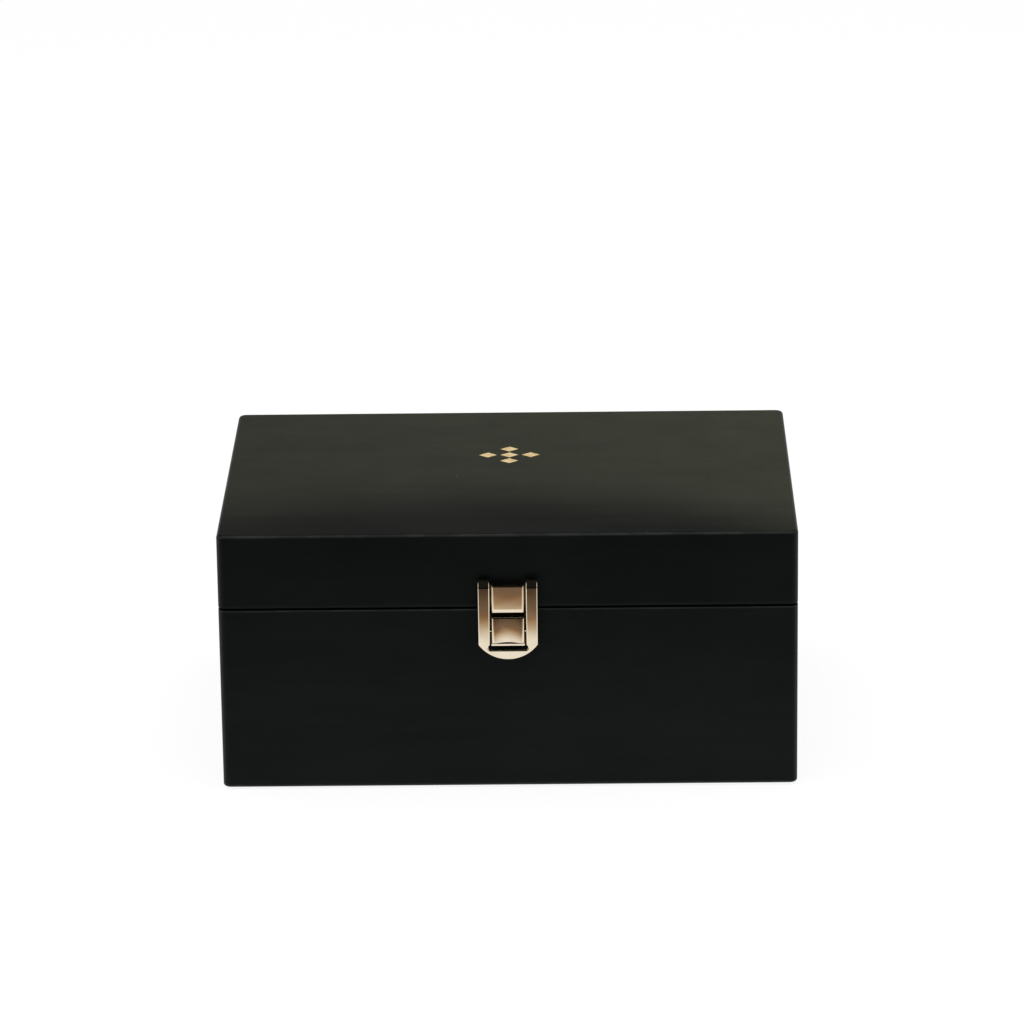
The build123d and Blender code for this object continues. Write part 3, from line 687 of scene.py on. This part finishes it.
def puff(piece, limit):
    """Lets the pad's cloth swell a little under pressure, each point by no more than limit."""
    start = [vertex.co.copy() for vertex in piece.data.vertices]
    cloth = piece.modifiers.new("puff", "CLOTH")
    cloth.settings.use_pressure = True
    cloth.settings.uniform_pressure_force = PUFF_PRESSURE
    cloth.settings.effector_weights.gravity = 0.0
    cloth.settings.quality = 4
    scene = bpy.context.scene
    for number in range(1, PUFF_FRAMES + 1):
        scene.frame_set(number)
    shaped = piece.evaluated_get(bpy.context.evaluated_depsgraph_get())
    moved = [vertex.co.copy() for vertex in shaped.data.vertices]
    piece.modifiers.remove(cloth)
    scene.frame_set(1)
    for vertex, old, new in zip(piece.data.vertices, start, moved):
        step = new - old
        vertex.co = old + step * min(1.0, limit / max(step.length, 1e-9))


def finish_pad(name, node, body, crown, shown_up, seed):
    """One pad, from its mesh to its place on its body."""
    low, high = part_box(node)
    mesh = pad_mesh(name, low + PAD_MARGIN, high - PAD_MARGIN, crown, shown_up, seed)
    pad = bpy.data.objects.new(name, mesh)
    bpy.context.scene.collection.objects.link(pad)
    puff(pad, PUFF_LIMIT)
    for vertex in mesh.vertices:
        vertex.co.x = min(max(vertex.co.x, low.x), high.x)
        vertex.co.y = min(max(vertex.co.y, low.y), high.y)
        vertex.co.z = max(vertex.co.z, low.z) if shown_up else min(vertex.co.z, high.z)
    mesh.materials.append(lining)
    mesh.polygons.foreach_set("use_smooth", [True] * len(mesh.polygons))
    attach(pad, body)
    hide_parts(node)


FLOOR_PAD_CROWN = 0.9 * MM
LID_PAD_CROWN = 0.7 * MM
finish_pad("velvet_floor_pad_left", "floor_pad_left", "body", FLOOR_PAD_CROWN, shown_up=True, seed=3.0)
finish_pad("velvet_floor_pad_right", "floor_pad_right", "body", FLOOR_PAD_CROWN, shown_up=True, seed=11.0)
finish_pad("velvet_lid_pad", "lid_pad", "lid", LID_PAD_CROWN, shown_up=False, seed=23.0)


BAIZE_CORNER = 3.3 * MM
BAIZE_CUT_EDGE = 0.25 * MM


def baize_sheet():
    """The baize glued under the box: a thin felt, its cut edge a little soft."""
    low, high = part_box("base_baize")
    mesh = bmesh.new()
    centre = (low + high) / 2
    size = high - low
    place = Matrix.Translation(centre) @ Matrix.Diagonal((size.x, size.y, size.z, 1.0))
    bmesh.ops.create_cube(mesh, size=1.0, matrix=place)
    uprights = [e for e in mesh.edges if abs(e.verts[0].co.z - e.verts[1].co.z) > size.z / 2]
    bmesh.ops.bevel(mesh, geom=uprights, offset=BAIZE_CORNER, segments=8, affect="EDGES", profile=0.5)
    upper = [e for e in mesh.edges if min(v.co.z for v in e.verts) > high.z - size.z / 4]
    bmesh.ops.bevel(mesh, geom=upper, offset=BAIZE_CUT_EDGE, segments=2, affect="EDGES", profile=0.5)
    bmesh.ops.recalc_face_normals(mesh, faces=mesh.faces)
    data = bpy.data.meshes.new("baize_under_base")
    mesh.to_mesh(data)
    mesh.free()
    sheet = piece_from("baize_under_base", data, baize("green_baize"), "body", "base_baize")


baize_sheet()


# Ornament on the lid: foil lozenges with a raised inner panel, laid out by Geometry Nodes
LOZENGE_WIDTH = 8.4 * MM
LOZENGE_DEPTH = 7.4 * MM
LOZENGE_PANEL = 0.66  # the raised panel's share of a lozenge's size
LOZENGE_BASE = 0.6  # the base's share of its thickness, under the panel


def lozenge_tree():
    """Lozenges on a cross of points, each with a border and a raised panel."""
    tree = bpy.data.node_groups.new("foil_lozenges", "GeometryNodeTree")
    sockets = {}
    for name in ("Width", "Depth", "Pitch X", "Pitch Y", "Centre Y", "Level", "Thickness", "Panel"):
        sockets[name] = tree.interface.new_socket(name, in_out="INPUT", socket_type="NodeSocketFloat")
    sockets["Material"] = tree.interface.new_socket(
        "Material", in_out="INPUT", socket_type="NodeSocketMaterial"
    )
    tree.interface.new_socket("Geometry", in_out="OUTPUT", socket_type="NodeSocketGeometry")
    given = add(tree, "NodeGroupInput").outputs
    ring = add(tree, "GeometryNodeMeshCircle", {"Vertices": 4, "Radius": 0.5}, fill_type="NGON")
    size = add(tree, "ShaderNodeCombineXYZ", {"X": given["Width"], "Y": given["Depth"], "Z": 1.0})
    shaped = add(tree, "GeometryNodeTransform", {"Geometry": ring.outputs["Mesh"], "Scale": size.outputs[0]})
    solid = add(tree, "GeometryNodeExtrudeMesh",
                {"Mesh": shaped.outputs[0], "Offset Scale": times(tree, given["Thickness"], LOZENGE_BASE)})
    inset = add(tree, "GeometryNodeExtrudeMesh",
                {"Mesh": solid.outputs["Mesh"], "Selection": solid.outputs["Top"], "Offset Scale": 0.0})
    smaller = add(tree, "GeometryNodeScaleElements",
                  {"Geometry": inset.outputs["Mesh"], "Selection": inset.outputs["Top"],
                   "Scale": given["Panel"]})
    raised = add(tree, "GeometryNodeExtrudeMesh",
                 {"Mesh": smaller.outputs[0], "Selection": inset.outputs["Top"],
                  "Offset Scale": times(tree, given["Thickness"], 1.0 - LOZENGE_BASE)})
    base = add(tree, "GeometryNodeFlipFaces", {"Mesh": shaped.outputs[0]})
    closed = add(tree, "GeometryNodeJoinGeometry")
    tree.links.new(raised.outputs["Mesh"], closed.inputs[0])
    tree.links.new(base.outputs[0], closed.inputs[0])
    merged = add(tree, "GeometryNodeMergeByDistance", {"Geometry": closed.outputs[0], "Distance": 1e-6})
    step_x = add(tree, "ShaderNodeCombineXYZ", {"X": given["Pitch X"]}).outputs[0]
    step_y = add(tree, "ShaderNodeCombineXYZ", {"Y": given["Pitch Y"]}).outputs[0]
    start_x = add(tree, "ShaderNodeCombineXYZ", {"X": times(tree, given["Pitch X"], -1.0)})
    start_y = add(tree, "ShaderNodeCombineXYZ", {"Y": times(tree, given["Pitch Y"], -1.0)})
    row = add(tree, "GeometryNodeMeshLine",
              {"Count": 3, "Start Location": start_x.outputs[0], "Offset": step_x})
    column = add(tree, "GeometryNodeMeshLine",
                 {"Count": 3, "Start Location": start_y.outputs[0], "Offset": step_y})
    cross = add(tree, "GeometryNodeJoinGeometry")
    tree.links.new(row.outputs["Mesh"], cross.inputs[0])
    tree.links.new(column.outputs["Mesh"], cross.inputs[0])
    places = add(tree, "GeometryNodeMergeByDistance", {"Geometry": cross.outputs[0], "Distance": 1e-5})
    copies = add(tree, "GeometryNodeInstanceOnPoints",
                 {"Points": places.outputs[0], "Instance": merged.outputs[0]})
    home = add(tree, "ShaderNodeCombineXYZ", {"Y": given["Centre Y"], "Z": given["Level"]})
    moved = add(tree, "GeometryNodeTransform",
                {"Geometry": copies.outputs[0], "Translation": home.outputs[0]})
    real = add(tree, "GeometryNodeRealizeInstances", {"Geometry": moved.outputs[0]})
    painted = add(tree, "GeometryNodeSetMaterial",
                  {"Geometry": real.outputs[0], "Material": given["Material"]})
    feed(tree, add(tree, "NodeGroupOutput").inputs["Geometry"], painted.outputs[0])
    return tree, sockets


def lid_ornament():
    """The foil ornament, in place of its plain solids."""
    low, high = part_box("lid_ornament")
    values = {
        "Width": LOZENGE_WIDTH, "Depth": LOZENGE_DEPTH,
        "Pitch X": (high.x - low.x - LOZENGE_WIDTH) / 2, "Pitch Y": (high.y - low.y - LOZENGE_DEPTH) / 2,
        "Centre Y": (low.y + high.y) / 2, "Level": low.z, "Thickness": high.z - low.z,
        "Panel": LOZENGE_PANEL, "Material": gold_foil("gold_foil"),
    }
    tree, sockets = lozenge_tree()
    maker = bpy.data.objects.new("ornament_maker", bpy.data.meshes.new("ornament_maker"))
    bpy.context.scene.collection.objects.link(maker)
    modifier = maker.modifiers.new("lozenges", "NODES")
    modifier.node_group = tree
    for name, value in values.items():
        modifier[sockets[name].identifier] = value
    shaped = maker.evaluated_get(bpy.context.evaluated_depsgraph_get())
    mesh = bpy.data.meshes.new_from_object(shaped)
    bpy.data.objects.remove(maker)
    piece = piece_from("foil_lozenges", mesh, values["Material"], "lid", "lid_ornament")


lid_ornament()


# Studio. In reflections the floor in front of the box is white up to WHITE_FROM, along Y in metres.
# From there it turns brown, its red, green and blue each ending at a place of their own, and then dark
WHITE_FROM = -0.268
BROWN_FROM = (-0.314, -0.310, -0.306)
BROWN = (0.190, 0.127, 0.087)
DARK_FROM = -0.352
DARKEST_FROM = DARK_FROM - 0.12
DARK = 0.28  # brightness of the dark part, and then of the darkest, as shares
DARKEST = 0.12
FLOOR_REACH = 6.0
FLOOR_LEVEL = -0.05 * MM
FLOOR_GREY = (0.8, 0.8, 0.8, 1.0)
FLOOR_SHADOW = 0.16  # share of the floor's own shading that the camera sees, under a white glow
FLOOR_GLOW = 0.05
WHITE = (1.0, 1.0, 1.0, 1.0)
SOFT_LIGHT = (0.62, 0.63, 0.64, 1.0)
LAMP_COLOUR = (1.0, 0.985, 0.96)
LAMP_AIM = Vector((0.0, 0.0, 0.05))

# The sweep that reflections see, by the X, Y and Z of their direction. Behind the box it is white low
# down, dim above that and dark from higher up. Beside the box it is white to its upper end
SWEEP_WHITE = (1.0, 1.0, 0.94, 1.0)
DARK_ABOVE = (0.012, 0.011, 0.010, 1.0)
BEHIND_FROM = (-0.35, 0.05)
BEHIND_WHITE_TO = (0.02, 0.11)
BEHIND_DIM_TO = (0.34, 0.52)
DIM = 0.26
BESIDE_FROM = (0.64, 0.84)
BESIDE_WHITE_TO = (0.45, 0.70)


def emission(tree, colour, strength=1.0):
    """An emission shader."""
    return add(tree, "ShaderNodeEmission", {"Color": colour, "Strength": strength}).outputs[0]


def background(tree, colour):
    """A background shader."""
    return add(tree, "ShaderNodeBackground", {"Color": colour}).outputs[0]


def mix_shaders(tree, share, first, second):
    """A mix of two shaders."""
    return add(tree, "ShaderNodeMixShader", {0: share, 1: first, 2: second}).outputs[0]


def studio_floor():
    """A wide white floor. In reflections its white ends a step in front of the box."""
    mesh = bpy.data.meshes.new("studio_floor")
    corners = [(-1, -1), (1, -1), (1, 1), (-1, 1)]
    mesh.from_pydata([(x * FLOOR_REACH, y * FLOOR_REACH, FLOOR_LEVEL) for x, y in corners], [],
                     [(0, 1, 2, 3)])
    floor = bpy.data.objects.new("studio_floor", mesh)
    bpy.context.scene.collection.objects.link(floor)
    material = bpy.data.materials.new("studio_floor")
    material.use_nodes = True
    tree = material.node_tree
    tree.nodes.clear()
    rays = add(tree, "ShaderNodeLightPath").outputs
    y = axes(tree, object_place(tree))["Y"]
    shade = times(tree, ramp(tree, y, DARK_FROM, BROWN_FROM[0], to_low=DARK),
                  ramp(tree, y, DARKEST_FROM, DARK_FROM, to_low=DARKEST))
    channels = {
        name: times(tree, ramp(tree, y, start, WHITE_FROM, to_low=low), shade)
        for name, start, low in zip(("Red", "Green", "Blue"), BROWN_FROM, BROWN)
    }
    reflected = emission(tree, add(tree, "ShaderNodeCombineColor", channels).outputs[0])
    diffuse = add(tree, "ShaderNodeBsdfDiffuse", {"Color": FLOOR_GREY}).outputs[0]
    seen = mix_shaders(tree, FLOOR_SHADOW, emission(tree, WHITE), diffuse)
    seen = add(tree, "ShaderNodeAddShader", {0: seen, 1: emission(tree, WHITE, FLOOR_GLOW)}).outputs[0]
    surface = mix_shaders(tree, rays["Is Glossy Ray"], diffuse, reflected)
    surface = mix_shaders(tree, rays["Is Camera Ray"], surface, seen)
    feed(tree, add(tree, "ShaderNodeOutputMaterial").inputs["Surface"], surface)
    mesh.materials.append(material)


def studio_world():
    """White to the camera. Reflections see a white sweep behind and beside the box, dark above it."""
    world = bpy.data.worlds.new("studio")
    bpy.context.scene.world = world
    world.use_nodes = True
    tree = world.node_tree
    tree.nodes.clear()
    rays = add(tree, "ShaderNodeLightPath").outputs
    way = axes(tree, add(tree, "ShaderNodeTexCoord").outputs["Generated"])
    behind = plus(tree, ramp(tree, way["Z"], *BEHIND_WHITE_TO, to_low=1.0 - DIM, to_high=0.0),
                  ramp(tree, way["Z"], *BEHIND_DIM_TO, to_low=DIM, to_high=0.0))
    behind = times(tree, behind, ramp(tree, way["Y"], *BEHIND_FROM))
    beside = times(tree, ramp(tree, calc(tree, "ABSOLUTE", way["X"]), *BESIDE_FROM),
                   ramp(tree, way["Z"], *BESIDE_WHITE_TO, to_low=1.0, to_high=0.0))
    glossy = blend_colours(tree, calc(tree, "MAXIMUM", behind, beside), DARK_ABOVE, SWEEP_WHITE)
    unseen = mix_shaders(tree, rays["Is Glossy Ray"], background(tree, SOFT_LIGHT), background(tree, glossy))
    shown = mix_shaders(tree, rays["Is Camera Ray"], unseen, background(tree, WHITE))
    feed(tree, add(tree, "ShaderNodeOutputWorld").inputs["Surface"], shown)


def soft_lamp(name, place, size, watts):
    """A square softbox that looks at the box and shows neither to the camera nor in reflections."""
    lamp = bpy.data.lights.new(name, "AREA")
    lamp.shape = "SQUARE"
    lamp.size = size
    lamp.energy = watts
    lamp.color = LAMP_COLOUR
    holder = bpy.data.objects.new(name, lamp)
    holder.location = place
    holder.rotation_euler = (LAMP_AIM - Vector(place)).to_track_quat("-Z", "Y").to_euler()
    holder.visible_camera = False
    holder.visible_glossy = False
    bpy.context.scene.collection.objects.link(holder)


def studio_camera():
    """The photograph's camera."""
    forward = Vector((
        -math.sin(CAMERA_YAW) * math.cos(CAMERA_PITCH),
        math.cos(CAMERA_YAW) * math.cos(CAMERA_PITCH),
        -math.sin(CAMERA_PITCH),
    ))
    level = Vector((math.cos(CAMERA_YAW), math.sin(CAMERA_YAW), 0.0))
    rising = level.cross(forward)
    right = level * math.cos(CAMERA_ROLL) + rising * math.sin(CAMERA_ROLL)
    up = -level * math.sin(CAMERA_ROLL) + rising * math.cos(CAMERA_ROLL)
    data = bpy.data.cameras.new("camera")
    data.lens = CAMERA_LENS
    data.sensor_width = SENSOR
    data.sensor_fit = "HORIZONTAL"
    data.clip_end = 50.0
    camera = bpy.data.objects.new("camera", data)
    turn = Matrix((right, up, -forward)).transposed().to_4x4()
    camera.matrix_world = Matrix.Translation(CAMERA_PLACE) @ turn
    bpy.context.scene.collection.objects.link(camera)
    bpy.context.scene.camera = camera


studio_floor()
studio_world()
soft_lamp("softbox_above", place=(0.1, -0.2, 1.6), size=1.4, watts=14.0)
soft_lamp("softbox_left", place=(-1.3, -0.6, 0.9), size=0.9, watts=4.0)
studio_camera()
bpy.context.scene.view_settings.view_transform = "Standard"
